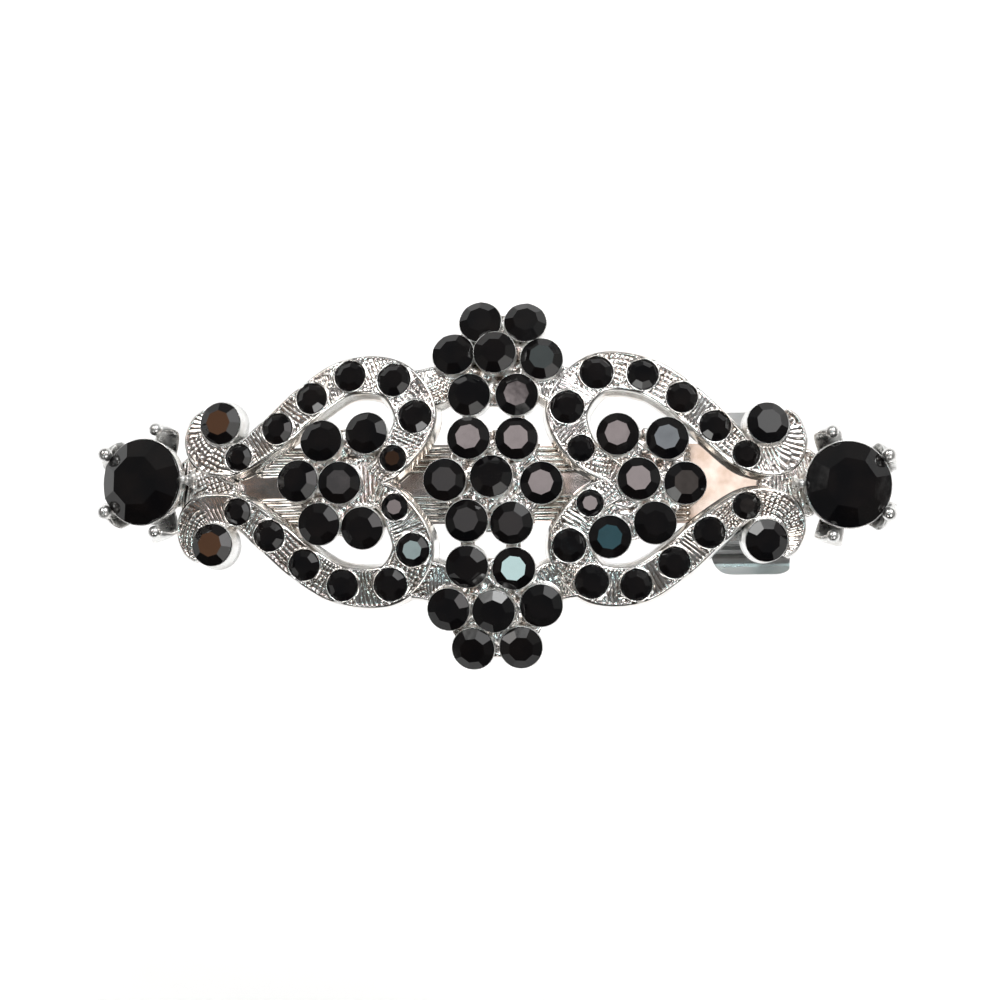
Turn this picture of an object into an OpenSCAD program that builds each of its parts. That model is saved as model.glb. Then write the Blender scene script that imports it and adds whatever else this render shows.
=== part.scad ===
// Rhinestone hair clip: a cast, arched ornament set with faceted stones,
// carried on a spring-steel barrette clasp.
//
// X runs along the clip (hinge end at -X, catch end at +X), Y across it, Z up out of the face.
// The origin is on the resting plane under the middle of the clip.

/* [Ornament] */
// Height of the ornament's face at its crest, above the resting plane
face_crest_z = 13.8; // [13.8:0.1:14.6]
// Radius of the face's arch along the clip
face_arch_r = 132; // [128:2:150]
// Radius of the face's dome across the clip
face_dome_r = 70; // [60:5:110]
// Thickness of the casting under its face
casting_t = 1.9; // [1.7:0.1:1.9]
// How far the casting's side walls spread from the face to the underside
draft = 0.45; // [0.2:0.05:0.5]

/* [Stones] */
// Radius of the stones of the cluster, the flowers and the leaves
round_stone_r = 2.1; // [1.9:0.05:2.1]
// Radius of the two stones at the ends
end_stone_r = 4.3; // [3.9:0.1:4.3]
// Radii of the seven stones of a scroll band, from the clip's end inwards
band_stone_r = [1.3, 1.5, 1.5, 1.5, 1.6, 1.6, 1.25];
// Gap between a stone and the metal it sits in
stone_gap = 0.04; // [0.03:0.01:0.06]
// Wall of a stone's cup
cup_wall = 0.14; // [0.12:0.02:0.2]

/* [Clasp] */
// Length of the base bar
bar_len = 60; // [60:1:61]
// Width of the base bar
bar_w = 8; // [8:0.1:8.4]
// Thickness of the base bar
bar_t = 0.8; // [0.7:0.05:0.8]
// Radius of the base bar's arch, at its upper side
bar_arch_r = 130; // [130:1:131]
// Radius of the hinge pin
pin_r = 0.6; // [0.5:0.05:0.6]
// Running clearance of the hinge
pin_gap = 0.05; // [0.03:0.01:0.08]
// Thickness of the lock bar
lock_t = 0.65; // [0.55:0.05:0.65]
// Radius of the lock bar's arch, at its upper side
lock_arch_r = 600; // [600:20:800]
// Thickness of the catch's sheet
catch_t = 0.6; // [0.5:0.05:0.6]
// Distance of the wings' outer edges from the middle of the clip
wing_reach = 8.3; // [8.2:0.1:8.8]
// Thickness of the tension bow
bow_t = 0.35; // [0.3:0.05:0.4]
// Width of the tension bow
bow_w = 5; // [4.4:0.2:5]

/* [Hidden] */
eps = 0.02;      // gap between sheets that are riveted face to face
arc_fn = 256;
bar_crest_z = face_crest_z - casting_t;
bar_floor_r = bar_arch_r - bar_t;
bar_centre = [0, bar_crest_z - bar_arch_r];
lock_crest_z = 3.48;
lock_centre = [0, lock_crest_z - lock_arch_r];
hinge = [-28.5, 1.5];        // x and z of the hinge pin's axis
ear_t = 0.8;
ear_y = bar_w / 2 - ear_t - 0.05;   // inner face of a hinge ear

// Seats of the round stones: x, y, how far the girdle stands above the face, lean along X, lean along Y
cluster_seats = [
    [-1.5, 16.3, 0.6, -3, 2], [3.05, 16.2, 0.6, 4, 7],
    [-4.15, 12.95, 0.7, -4, 2], [0.1, 13.0, 1.6, -2, -2], [4.75, 12.4, 0.7, 3, 0],
    [-2.5, 8.8, 0.6, -3, -2], [2.3, 8.75, 0.6, 0, -3],
    [-2.5, 4.4, 0.6, 0, 0], [2.3, 4.3, 0.6, 0, 0],
    [-4.9, 0.2, 0.6, 2, 0], [-0.2, 0.5, 0.8, 0, 6], [4.8, -0.2, 0.6, -1, 0],
    [-2.7, -3.9, 0.6, 0, 4], [1.8, -4.2, 0.6, 0, -5],
    [-2.7, -8.5, 0.6, -2, -6], [2.0, -8.7, 0.6, 1, 3],
    [-4.6, -12.7, 0.7, -4, -2], [0.0, -13.0, 1.5, -2, -4], [4.7, -12.4, 0.7, 3, -2],
    [-2.2, -16.6, 0.6, -3, -6], [2.6, -16.5, 0.6, 3, -5]];
flower_left_seats = [
    [-17.5, 4.4, 0.5, 0, 6], [-12.9, 5.1, 0.5, 0, 5],
    [-19.9, 0.4, 0.5, -3, 4], [-15.6, 0.1, 0.6, 8, 0],
    [-17.7, -4.0, 0.5, 0, -5], [-13.3, -4.5, 0.5, 0, -6]];
flower_right_seats = [
    [12.4, 4.7, 0.5, -5, 0], [17.3, 4.3, 0.5, -6, 0],
    [14.5, 0.2, 0.6, -5, 0], [19.1, -0.2, 0.5, 4, 0],
    [11.6, -5.6, 0.5, -3, -2], [16.1, -4.2, 0.5, 3, -3]];
leaf_seats = [
    [-28.0, 6.5, 0.7, 0, -4], [-28.8, -5.8, 0.7, 0, 4],
    [27.3, 5.9, 0.7, 2, 4], [27.1, -5.9, 0.7, 2, -4]];
end_seats = [[-36.1, 0.7, 1.9, -3, 0], [35.3, -0.3, 1.9, -3, 0]];

// Seats of the small stones of each scroll band, from the clip's end round to its heart's cusp
band_left_back = [
    [-26.1, 3.0], [-22.1, 5.8], [-18.6, 8.8], [-14.7, 11.0], [-10.2, 10.5], [-8.0, 6.7], [-10.2, 2.5]];
band_left_front = [
    [-26.2, -2.5], [-22.9, -5.0], [-19.3, -8.0], [-15.4, -10.1], [-10.5, -10.1], [-8.2, -6.7],
    [-10.0, -2.4]];
band_right_back = [
    [25.1, 2.8], [22.0, 5.6], [18.7, 8.5], [14.8, 10.8], [10.2, 11.0], [7.3, 7.5], [8.7, 3.3]];
band_right_front = [
    [25.1, -2.4], [21.4, -5.1], [17.9, -8.1], [14.1, -10.3], [9.7, -10.0], [7.5, -6.4], [9.6, -2.2]];
bands = [band_left_back, band_left_front, band_right_back, band_right_front];
// Width of a scroll band's face where it starts, at each of its stones, and at the cusp
band_w = [2.2, 2.9, 3.4, 3.6, 3.8, 4.1, 4.2, 3.0, 2.2];
band_stone_sink = 0.12;

round_seats = concat(cluster_seats, flower_left_seats, flower_right_seats, leaf_seats);

SIDES = ["left_back", "left_front", "right_back", "right_front"];
ENDS = ["left", "right"];

// ---------------------------------------------------------------- geometry helpers

function drop(d, r) = r - sqrt(r * r - d * d);
function face_z(x, y) = face_crest_z - drop(x, face_arch_r) - drop(y, face_dome_r);
function arc_points(centre, r, a0, a1, n) =
    [for (i = [0:n]) let (a = a0 + (a1 - a0) * i / n) centre + r * [cos(a), sin(a)]];

// Puts children on the face at a seat, with their Z along the face's normal plus the seat's lean
module on_face(x, y, rise = 0, lean_x = 0, lean_y = 0) {
    translate([x, y, face_z(x, y) + rise])
        rotate([-asin(y / face_dome_r) - lean_y, asin(x / face_arch_r) + lean_x, 0])
            children();
}

module at_seat(s) on_face(s[0], s[1], s[2], s[3], s[4]) children();

// Turns a profile, drawn as [radius, -y], about an axis along Y. Angles go from +X towards +Z.
module arc_sweep(centre, a0, a1) {
    translate([centre[0], 0, centre[1]])
        rotate([90, 0, 0])
            rotate([0, 0, a0])
                rotate_extrude(angle = a1 - a0, $fn = arc_fn)
                    children();
}

// A strip of an arch whose crest is over x = 0, from x0 to x1 and from y0 to y1
module arched_strip(centre, r0, r1, x0, x1, y0, y1) {
    arc_sweep(centre, 90 - asin(x1 / r1), 90 - asin(x0 / r1))
        translate([r0, -y1]) square([r1 - r0, y1 - y0]);
}

// A prism along X of a section drawn as [y, z]
module along_x(x0, x1) {
    translate([x0, 0, 0])
        rotate([90, 0, 90])
            linear_extrude(x1 - x0)
                children();
}

// ---------------------------------------------------------------- stones

girdle_share = 0.08;
crown_share = 0.33;
pavilion_share = 0.7;
table_share = 0.56;

// A chaton: eight-sided crown and table over a round girdle, pointed below.
// The origin is at the top of the girdle.
module stone(r, spin) {
    edge = 1.02 * r;
    slope = (edge - table_share * r) / (crown_share * r);
    below = girdle_share * r;
    color([0.03, 0.03, 0.04]) rotate([0, 0, spin]) {
        intersection() {
            translate([0, 0, -below]) cylinder(r = r, h = below + crown_share * r, $fn = 48);
            translate([0, 0, -below])
                cylinder(r1 = (edge + below * slope) / cos(22.5), r2 = table_share * r / cos(22.5),
                         h = below + crown_share * r, $fn = 8);
        }
        translate([0, 0, -below - pavilion_share * r])
            cylinder(r1 = 0.15 * r, r2 = 0.97 * r, h = pavilion_share * r, $fn = 8);
    }
}

// The room that a stone takes, with the gap around it, open upwards
module stone_room(r, sides) {
    wide = (r + stone_gap) / cos(180 / sides);
    floor_z = -girdle_share * r - stone_gap;
    translate([0, 0, floor_z]) cylinder(r = wide, h = 2.2, $fn = sides);
    translate([0, 0, floor_z - pavilion_share * r])
        cylinder(r1 = 0.2 * r, r2 = wide, h = pavilion_share * r + 0.001, $fn = sides);
}

module seated_stone(seat, r, i) at_seat(seat) stone(r, 37 * i % 45);

module band_stones(band) {
    for (i = [0:6])
        on_face(band[i][0], band[i][1], -band_stone_sink) stone(band_stone_r[i], 29 * i % 45);
}

// The pocket that a stone sits in, open upwards
module pocket(r, sides) {
    deep = (girdle_share + pavilion_share) * r + stone_gap;
    translate([0, 0, -deep]) cylinder(r = (r + stone_gap) / cos(180 / sides), h = deep + 1.5, $fn = sides);
}

// ---------------------------------------------------------------- ornament casting

cup_sides = 12;
band_seat_sides = 12;
cup_h = 1.95;

// A point of a Catmull-Rom curve between b and c
function spline(a, b, c, d, t) =
    b + 0.5 * t * (c - a + t * (2 * a - 5 * b + 4 * c - d + t * (3 * (b - c) + d - a)));
// The middle of a scroll band: its stones, with a start at the neck and an end at the cusp
function band_knots(band) =
    let (sx = sign(band[0][0]), sy = sign(band[0][1]))
    concat([[sx * 28.6, sy * 1.2]], band, [[sx * 12, sy * 0.5]]);
function band_at(knots, u) =
    let (last = len(knots) - 1, i = min(floor(u), last - 1))
    spline(knots[max(i - 1, 0)], knots[i], knots[i + 1], knots[min(i + 2, last)], u - i);
function width_at(u) =
    let (i = min(floor(u), len(band_w) - 2))
    band_w[i] + (band_w[i + 1] - band_w[i]) * (u - i);

// One ring of a scroll band: the face with eased edges, and walls that spread to the underside
function band_ring(knots, u) =
    let (p = band_at(knots, u),
         ahead = band_at(knots, u + 0.02) - band_at(knots, u - 0.02),
         side = [-ahead.y, ahead.x] / norm(ahead),
         w = width_at(u) / 2,
         rim = [[-w - draft, -casting_t], [-w, -0.22], [-w + 0.2, 0],
                [w - 0.2, 0], [w, -0.22], [w + draft, -casting_t]])
    [for (c = rim) let (q = p + side * c[0]) [q.x, q.y, face_z(q.x, q.y) + c[1]]];

band_steps = 3;   // rings between two stones

module scroll_band(band) {
    knots = band_knots(band);
    rings = (len(knots) - 1) * band_steps;
    points = [for (i = [0:rings]) each band_ring(knots, min(max(i / band_steps, 0.02), len(knots) - 1.02))];
    k = 6;
    sides = [for (i = [0:rings - 1]) for (j = [0:k - 1])
        let (a = i * k + j, b = i * k + (j + 1) % k) each [[a, b, b + k], [a, b + k, a + k]]];
    caps = [[for (j = [k - 1:-1:0]) j], [for (j = [0:k - 1]) rings * k + j]];
    polyhedron(points = points, faces = concat(sides, caps), convexity = 8);
}

module cup(r) {
    outer_r = (r + cup_wall) / cos(180 / cup_sides);
    translate([0, 0, -cup_h]) cylinder(r = outer_r, h = cup_h, $fn = cup_sides);
}

// A plate of the web that carries the cups, spanning the places given
module web(places, w = 2) {
    hull() {
        for (p = places) on_face(p[0], p[1], -casting_t + 0.05) cylinder(r = w / 2, h = 1.15, $fn = 6);
    }
}

module leaf(seat) {
    sx = sign(seat.x);
    sy = sign(seat.y);
    hull() {
        for (c = [[seat.x, seat.y, 2.1], [sx * 30.1, sy * 5.2, 1.0],
                  [sx * 30.2, sy * 1.3, 1.2], [sx * 25.8, sy * 2.3, 1.5]])
            on_face(c[0], c[1], -1.6) cylinder(r = c[2], h = 1.6, $fn = 12);
    }
}

// The tongue that carries an end setting
module end_pad(seat) {
    sx = sign(seat.x);
    hull() {
        on_face(sx * 29.2, 0, -1.8) cylinder(r = 2.4, h = 1.4, $fn = 12);
        on_face(sx * 31.6, 0, -2.6) cylinder(r = 1.8, h = 1.2, $fn = 12);
    }
    hull() {
        on_face(sx * 31.6, 0, -2.6) cylinder(r = 1.8, h = 1.2, $fn = 12);
        at_seat(seat) translate([0, 0, -setting_h - 1]) cylinder(r = 2.2, h = 1 - eps, $fn = 12);
    }
}

// Room for the base bar, whose ribs the casting lies on
module base_bar_room() {
    reach = bar_len / 2 + 0.1;
    arched_strip(bar_centre, bar_arch_r - 4, bar_arch_r + rib_rise + 0.03, -reach, reach,
                 -bar_w / 2 - 0.1, bar_w / 2 + 0.1);
}

post_x = [-12, 12];
post_r = 0.9;
module on_bar(x, r) {
    translate([x, 0, bar_centre[1] + sqrt(r * r - x * x)]) rotate([0, asin(x / r), 0]) children();
}

// A post cast on the back, peened over under the base bar
module riveted_post(x) {
    on_bar(x, bar_arch_r) {
        translate([0, 0, -bar_t - 0.3]) cylinder(r = post_r, h = bar_t + 1.3, $fn = 24);
        translate([0, 0, -bar_t - eps - 0.4]) cylinder(r1 = 0.9, r2 = 1.35, h = 0.4, $fn = 24);
    }
}

// Seats of the cluster that share a plate of the web, and pairs that a narrow link joins
web_plates = [[0, 1, 2, 3, 4], [2, 3, 4, 5, 6], [7, 8, 9, 10, 11], [9, 10, 11, 12, 13],
              [14, 15, 16, 17, 18], [16, 17, 18, 19, 20]];
web_links = [[5, 7], [6, 8], [12, 14], [13, 15], [5, 6], [14, 15]];

module ornament_casting() {
    color("silver") union() {
        difference() {
            union() {
                for (b = bands) scroll_band(b);
                for (s = leaf_seats) leaf(s);
                for (s = end_seats) end_pad(s);
                for (s = round_seats) at_seat(s) cup(round_stone_r);
                for (p = web_plates) web([for (i = p) cluster_seats[i]]);
                for (p = web_links) web([for (i = p) cluster_seats[i]], 1.5);
                web(flower_left_seats);
                web(flower_right_seats);
                // the hearts' shoulders meet the cluster, and their cusps meet the flowers
                for (b = bands) {
                    back = sign(b[0][1]);
                    reach = sign(b[0][0]);
                    web([[reach * 7.4, back * 10.2], [reach * 3.4, back * 11.2], [reach * 3.4, back * 9.4]]);
                    web([b[6], [reach * 13.2, back * 4.9], [reach * 14.6, 0]]);
                }
            }
            for (s = round_seats) at_seat(s) pocket(round_stone_r, cup_sides);
            for (b = bands) for (i = [0:6])
                on_face(b[i][0], b[i][1], -band_stone_sink) pocket(band_stone_r[i], band_seat_sides);
            for (s = end_seats) at_seat(s)
                translate([0, 0, -setting_h]) cylinder(r = 4.6, h = 5, $fn = 16);
            base_bar_room();
        }
        for (x = post_x) riveted_post(x);
    }
}

// ---------------------------------------------------------------- end settings

setting_h = 3.5;
prong_reach = [4.95, 5.5, 4.95, 4.95, 5.5];   // from the prong that faces the clip's middle, round
ball_r = 0.58;

// A five-pronged basket. The origin is at the top of the stone's girdle.
module end_setting(seat) {
    inward = seat.x > 0 ? 180 : 0;
    color("silver") at_seat(seat) {
        difference() {
            union() {
                translate([0, 0, -1.3]) cylinder(r1 = 4.0, r2 = 4.55, h = 1.2, $fn = 32);
                translate([0, 0, -setting_h]) cylinder(r = 2.9, h = 0.7, $fn = 32);
                for (k = [0:4]) rotate([0, 0, inward + 72 * k]) prong(prong_reach[k]);
            }
            stone_room(end_stone_r, 32);
            translate([0, 0, -setting_h - 1]) cylinder(r = 2.1, h = 5, $fn = 32);
        }
    }
}

module prong(reach) {
    hull() {
        translate([2.7, 0, -setting_h + 0.35]) cube([0.9, 1.5, 0.7], center = true);
        translate([4.35, 0, -0.95]) sphere(0.5, $fn = 10);
    }
    hull() {
        translate([4.35, 0, -0.95]) sphere(0.5, $fn = 10);
        translate([reach, 0, 0.1]) sphere(0.42, $fn = 10);
    }
    translate([reach, 0, 0.25]) sphere(ball_r, $fn = 14);
}

// ---------------------------------------------------------------- base bar

rib_y = [1.3, 1.85, 2.4, 2.95, 3.5];
rib_w = 0.28;
rib_rise = 0.12;
rib_x = 19.5;
post_hole_r = post_r + 0.1;
catch_rivet_seats = [[27.8, -1.7], [27.8, 1.7]];
catch_rivet_r = 0.6;

module hinge_ear(y0) {
    hx = hinge[0];
    outline = [[hx - 1.25, 7.95], [hx - 1.25, 1.1], [hx - 1.1, 0.5], [hx - 0.6, 0],
               [hx + 0.6, 0], [hx + 1.1, 0.5], [hx + 1.25, 1.1], [hx + 1.25, 8.5]];
    translate([0, y0 + ear_t, 0]) rotate([90, 0, 0]) linear_extrude(ear_t) polygon(outline);
}

// The staple, lanced from the bar, that holds the end of the tension bow
module bow_staple() {
    for (y0 = [-3.2, 2.75]) translate([-25.2, y0, 7.1]) cube([1, 0.45, 1.9]);
    translate([-25.2, -3.2, 7.1]) cube([1, 6.4, 0.45]);
}

module base_bar() {
    color("lightsteelblue") difference() {
        union() {
            arched_strip(bar_centre, bar_floor_r, bar_arch_r, -bar_len / 2, bar_len / 2,
                         -bar_w / 2, bar_w / 2);
            for (y = rib_y) for (s = [-1, 1])
                arched_strip(bar_centre, bar_arch_r - 0.3, bar_arch_r + rib_rise, -rib_x, rib_x,
                             s * y - rib_w / 2, s * y + rib_w / 2);
            hinge_ear(ear_y);
            hinge_ear(-ear_y - ear_t);
            bow_staple();
        }
        for (x = post_x) on_bar(x, bar_arch_r)
            translate([0, 0, -2]) cylinder(r = post_hole_r, h = 4, $fn = 32);
        for (s = catch_rivet_seats) translate([0, s[1], 0]) on_bar(s[0], bar_arch_r) {
            translate([0, 0, -2]) cylinder(r = catch_rivet_r + 0.02, h = 4, $fn = 32);
            translate([0, 0, -0.4])
                cylinder(r1 = catch_rivet_r + 0.02, r2 = catch_rivet_r + 0.47, h = 0.45, $fn = 32);
        }
        translate([hinge[0], bar_w, hinge[1]]) rotate([90, 0, 0])
            cylinder(r = pin_r + 0.02, h = 2 * bar_w, $fn = 32);
    }
}

module hinge_pin() {
    half = bar_w / 2 + eps;
    color("gray") translate([hinge[0], 0, hinge[1]]) rotate([90, 0, 0]) {
        cylinder(r = pin_r, h = 2 * half, center = true, $fn = 32);
        for (s = [0, 180]) rotate([s, 0, 0])
            translate([0, 0, half]) cylinder(r1 = 0.95, r2 = 0.7, h = 0.3, $fn = 32);
    }
}

// ---------------------------------------------------------------- lock bar

loop_x = [20.4, 29.6];
window = [[21.6, -2.5], [28.2, 2.5]];

module lock_bar() {
    barrel_y = ear_y - 0.12;
    r0 = lock_arch_r - lock_t;
    tip_z = lock_crest_z - drop(loop_x[1], lock_arch_r) - lock_t / 2;
    color("slategray") difference() {
        union() {
            arched_strip(lock_centre, r0, lock_arch_r, hinge[0], loop_x[1], -2.9, 2.9);
            arched_strip(lock_centre, r0, lock_arch_r, loop_x[0], loop_x[1], -4, 4);
            // stiffening rib, pressed out towards the back
            arc_sweep(lock_centre, 90 - asin(17 / r0), 90 + asin(22 / r0))
                translate([r0 + 0.35, 0]) circle(0.8, $fn = 32);
            // the end is rolled for the fingertip
            translate([loop_x[1], 4, tip_z])
                rotate([90, 0, 0]) cylinder(r = 0.5, h = 8, $fn = 32);
            translate([hinge[0], barrel_y, hinge[1]]) rotate([90, 0, 0])
                cylinder(r = 1.3, h = 2 * barrel_y, $fn = 48);
        }
        translate([hinge[0], bar_w, hinge[1]]) rotate([90, 0, 0])
            cylinder(r = pin_r + pin_gap, h = 2 * bar_w, $fn = 48);
        translate([window[0].x, window[0].y, 0])
            cube([window[1].x - window[0].x, window[1].y - window[0].y, 6]);
    }
}

// ---------------------------------------------------------------- tension bow

bow_start = [-24.7, 7.9];    // where it rocks in the staple, as x and z
bow_end = [17, 9.72];
bow_sag = 0.2;

// The bow hangs between its two ends on an arc that is open upwards
module tension_bow() {
    chord = bow_end - bow_start;
    length = norm(chord);
    r = length * length / (8 * bow_sag) + bow_sag / 2;
    up = [-chord.y, chord.x] / length;
    centre = (bow_start + bow_end) / 2 + up * (r - bow_sag);
    a0 = 270 - asin((centre.x - bow_start.x) / r);
    a1 = 270 + asin((bow_end.x - centre.x) / r);
    head = 1.3 / r * 180 / PI;
    color("lightgray") {
        arc_sweep(centre, a0 - head / 2, a1) translate([r - bow_t / 2, -bow_w / 2]) square([bow_t, bow_w]);
        arc_sweep(centre, a0 - head, a0 - head / 2) translate([r - bow_t / 2, -3]) square([bow_t, 6]);
    }
}

// ---------------------------------------------------------------- catch

catch_x = [21, 29.6];
catch_top_r = bar_floor_r - eps;
plate_y = 3.4;
prong_x = [23.2, 26.2];

module catch_plate() {
    color("silver") difference() {
        arched_strip(bar_centre, catch_top_r - catch_t, catch_top_r, catch_x[0], catch_x[1],
                     -plate_y, plate_y);
        for (s = catch_rivet_seats) translate([0, s[1], 0]) on_bar(s[0], bar_arch_r)
            translate([0, 0, -3]) cylinder(r = catch_rivet_r + 0.02, h = 4, $fn = 32);
    }
}

module catch_rivets() {
    stack = bar_t + eps + catch_t;
    color("gray") for (s = catch_rivet_seats) translate([0, s[1], 0]) on_bar(s[0], bar_arch_r) {
        translate([0, 0, -stack - eps]) cylinder(r = catch_rivet_r, h = stack + eps, $fn = 32);
        translate([0, 0, -0.38])
            cylinder(r1 = catch_rivet_r, r2 = catch_rivet_r + 0.38, h = 0.38, $fn = 32);
        translate([0, 0, -stack - eps - 0.3]) cylinder(r1 = 0.75, r2 = 1.0, h = 0.3, $fn = 32);
    }
}

wing_bend_r = 2.4;
wing_leg_y = 5.1;

// The wing's sheet in section: a leg that hangs from the bar and flares into a flat tab
function wing_section() =
    let (bend = [wing_leg_y + wing_bend_r, wing_bend_r])
    concat([[wing_leg_y, 9.6]],
           arc_points(bend, wing_bend_r, 180, 270, 10),
           [[wing_reach, 0], [wing_reach, catch_t]],
           arc_points(bend, wing_bend_r - catch_t, 270, 180, 10),
           [[wing_leg_y + catch_t, 9.6]]);

// The wing's outline seen from above, with rounded outer corners
function wing_plan() =
    let (r = 2, x0 = catch_x[0], x1 = catch_x[1], y = wing_reach - r)
    concat([[x0, 3], [x1, 3]], arc_points([x1 - r, y], r, 0, 90, 8),
           arc_points([x0 + r, y], r, 90, 180, 8));

// The tongue that reaches through the lock bar's window and hooks outwards under its rail
hook_section = [[wing_leg_y + 0.1, 8.1], [1.6, 6.6], [1.6, 0.9], [2.1, 0.9], [3.0, 2.1], [2.1, 2.1],
                [2.1, 6.2],
                [wing_leg_y + 0.1, 7.5]];

module catch_wing() {
    color("silver") union() {
        arched_strip(bar_centre, catch_top_r - catch_t, catch_top_r, catch_x[0], catch_x[1],
                     plate_y + 0.1, wing_leg_y + 0.2);
        intersection() {
            along_x(catch_x[0] - 1, catch_x[1] + 1) polygon(wing_section());
            translate([0, 0, -1]) linear_extrude(12) polygon(wing_plan());
            arched_strip(bar_centre, bar_arch_r - 20, catch_top_r, catch_x[0] - 1, catch_x[1] + 1, 0, 10);
        }
        along_x(prong_x[0], prong_x[1]) polygon(hook_section);
    }
}

// ---------------------------------------------------------------- assembly

ornament_casting();
base_bar();
hinge_pin();
lock_bar();
tension_bow();
catch_plate();
catch_rivets();
catch_wing();  // catch_wing_back
mirror([0, 1, 0]) catch_wing();  // catch_wing_front
for (i = [0:1]) {
    end_setting(end_seats[i]);
    seated_stone(end_seats[i], end_stone_r, i + 3);
}
for (i = [0:3]) {
    seated_stone(leaf_seats[i], round_stone_r, i);
    band_stones(bands[i]);
}
for (i = [0:5]) {
    seated_stone(flower_left_seats[i], round_stone_r, i);
    seated_stone(flower_right_seats[i], round_stone_r, i);
}
for (i = [0:len(cluster_seats) - 1])
    seated_stone(cluster_seats[i], round_stone_r, i);
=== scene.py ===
"""The looks of a rhinestone hair clip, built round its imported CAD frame.

Shapes are worked out in millimetres and turned into metres as each mesh is made.
The stones' places, sizes and tilts are read from the CAD nodes, and the metal follows them.
"""
import math

import bmesh
import bpy
import numpy as np
from mathutils import Matrix, Vector
from mathutils.bvhtree import BVHTree


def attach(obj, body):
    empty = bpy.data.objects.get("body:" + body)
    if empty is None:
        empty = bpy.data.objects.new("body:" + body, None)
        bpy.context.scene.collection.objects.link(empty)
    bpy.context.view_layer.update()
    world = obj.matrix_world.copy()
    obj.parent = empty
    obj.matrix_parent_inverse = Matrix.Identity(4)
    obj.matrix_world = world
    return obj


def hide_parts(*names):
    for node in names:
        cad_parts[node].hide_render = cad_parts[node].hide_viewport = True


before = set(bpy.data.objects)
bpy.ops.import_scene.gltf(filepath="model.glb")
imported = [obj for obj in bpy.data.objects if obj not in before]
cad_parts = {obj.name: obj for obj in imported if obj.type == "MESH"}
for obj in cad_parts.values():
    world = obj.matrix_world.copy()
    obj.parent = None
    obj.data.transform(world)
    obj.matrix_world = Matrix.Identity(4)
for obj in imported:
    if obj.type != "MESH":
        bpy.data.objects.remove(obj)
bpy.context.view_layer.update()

MM = 0.001
SEED = 7
SIDES = ("left_back", "left_front", "right_back", "right_front")
ENDS = ("left", "right")


# ---------------------------------------------------------------- reading the frame

def welded(node):
    """A node's points in millimetres, with doubles merged, and its triangles."""
    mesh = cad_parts[node].data
    mesh.calc_loop_triangles()
    points = np.array([v.co for v in mesh.vertices], float) / MM
    tris = np.array([t.vertices for t in mesh.loop_triangles])
    _, first, same = np.unique(points.round(3), axis=0, return_index=True, return_inverse=True)
    return points[first], same.reshape(-1)[tris]


def shells(tris, count):
    """Splits triangles into groups that share no point."""
    label = np.arange(count)
    while True:
        low = label[tris].min(axis=1)
        lower = label.copy()
        for corner in range(3):
            np.minimum.at(lower, tris[:, corner], low)
        if (lower == label).all():
            break
        label = lower
    owner = label[tris[:, 0]]
    return [tris[owner == one] for one in np.unique(owner)]


class Stone:
    """A stone's girdle centre, axis and radius, found from its mesh: the table is its widest flat."""

    crown = 0.33   # height of the crown as a share of the radius

    def __init__(self, points, tris):
        a, b, c = points[tris].transpose(1, 0, 2)
        cross = np.cross(b - a, c - a)
        size = np.linalg.norm(cross, axis=1)
        solid = size > 1e-5
        facing = cross[solid] / size[solid, None]
        middle = (a + b + c)[solid] / 3
        flat = {}
        for key, s in zip(map(tuple, facing.round(2)), size[solid]):
            flat[key] = flat.get(key, 0) + s
        table = max((k for k in flat if k[2] > 0.6), key=flat.get)
        on_table = facing @ unit(np.array(table)) > 0.9998
        weight = size[solid][on_table, None]
        self.axis = unit((facing[on_table] * weight).sum(0))
        top = (middle[on_table] * weight).sum(0) / weight.sum()
        used = points[np.unique(tris)] - top
        self.r = np.linalg.norm(used - np.outer(used @ self.axis, self.axis), axis=1).max()
        self.centre = top - self.axis * self.crown * self.r

    def basis(self, toward=(1.0, 0.0, 0.0)):
        """Unit vectors in the girdle, the first as near to toward as can be, across it, and the axis."""
        along = unit(np.cross(np.cross(self.axis, toward), self.axis))
        return np.array([along, np.cross(self.axis, along), self.axis])


def unit(v):
    """The vector at length 1."""
    return v / np.linalg.norm(v)


def stones_of(node):
    """Every stone in a node."""
    points, tris = welded(node)
    return [Stone(points, t) for t in shells(tris, len(points))]


def only_stone(node):
    """The stone in a node that holds one."""
    return stones_of(node)[0]


def inwards(stones):
    """Sorts a band's stones from the clip's end round to the heart's cusp."""
    rest = sorted(stones, key=lambda s: -abs(s.centre[0]))
    chain = [rest.pop(0)]
    while rest:
        rest.sort(key=lambda s: np.linalg.norm(s.centre - chain[-1].centre))
        chain.append(rest.pop(0))
    return chain


cluster = [only_stone(f"cluster_stone_{i}") for i in range(1, 22)]
flowers = {e: [only_stone(f"flower_stone_{e}_{i}") for i in range(1, 7)] for e in ENDS}
leaves = {s: only_stone(f"leaf_stone_{s}") for s in SIDES}
ends = {e: only_stone(f"end_stone_{e}") for e in ENDS}
bands = {s: inwards(stones_of(f"band_stones_{s}")) for s in SIDES}
all_band_stones = [s for side in SIDES for s in bands[side]]
SINK = 0.12   # how far a band stone's girdle lies below the face


def fitted_face():
    """The arched face as z = a + b x² + c y², through the places where the band stones are sunk."""
    p = np.array([s.centre + SINK * s.axis for s in all_band_stones])
    terms = np.stack([np.ones(len(p)), p[:, 0] ** 2, p[:, 1] ** 2], axis=1)
    return np.linalg.lstsq(terms, p[:, 2], rcond=None)[0]


FACE = fitted_face()


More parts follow.
